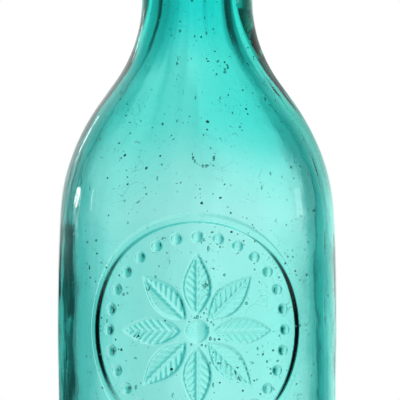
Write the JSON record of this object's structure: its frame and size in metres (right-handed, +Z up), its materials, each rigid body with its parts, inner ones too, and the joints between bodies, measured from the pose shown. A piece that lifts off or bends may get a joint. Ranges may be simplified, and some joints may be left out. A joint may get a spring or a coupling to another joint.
{
  "type": "blob top bottle",
  "caption": "Thick teal glass soda bottle with a sloping shoulder and an applied blob lip, corked, with a wire bail that swings over the cork.",
  "frame": {"origin": "on the bottle's axis, at the level of the ring that it stands on", "axes": "+Z up along the bottle's axis, -Y towards the front with the raised ornament, +X to the right seen from the front, through one eye of the neck wire"},
  "size_m": [0.0632, 0.0632, 0.1957],
  "materials": {
    "teal_glass": "old blown glass, glossy, with seed bubbles and faint ripples",
    "cork": "dry bark cork with dark pores",
    "wire": "drawn iron wire, dulled, with rust in the bends"
  },
  "bodies": {
    "bottle": {"glass_body": "teal_glass", "blob_lip": "teal_glass", "neck_wire": "wire"},
    "bail": {"wire_bail": "wire"},
    "cork": {"cork_stopper": "cork"}
  },
  "joints": [
    {"name": "bail_swing", "type": "hinge", "parent": "bottle", "child": "bail", "pos_m": [0, 0, 0.16016], "axis": [-1, 0, 0], "range_deg": [0, 138]},
    {"name": "cork_pull", "type": "slide", "parent": "bottle", "child": "cork", "axis": [0, 0, 1], "range_m": [0, 0.0185]}
  ],
  "couplings": [
    {"joint": "cork_pull", "follows": "bail_swing", "m_per_rad": 0.0075}
  ]
}
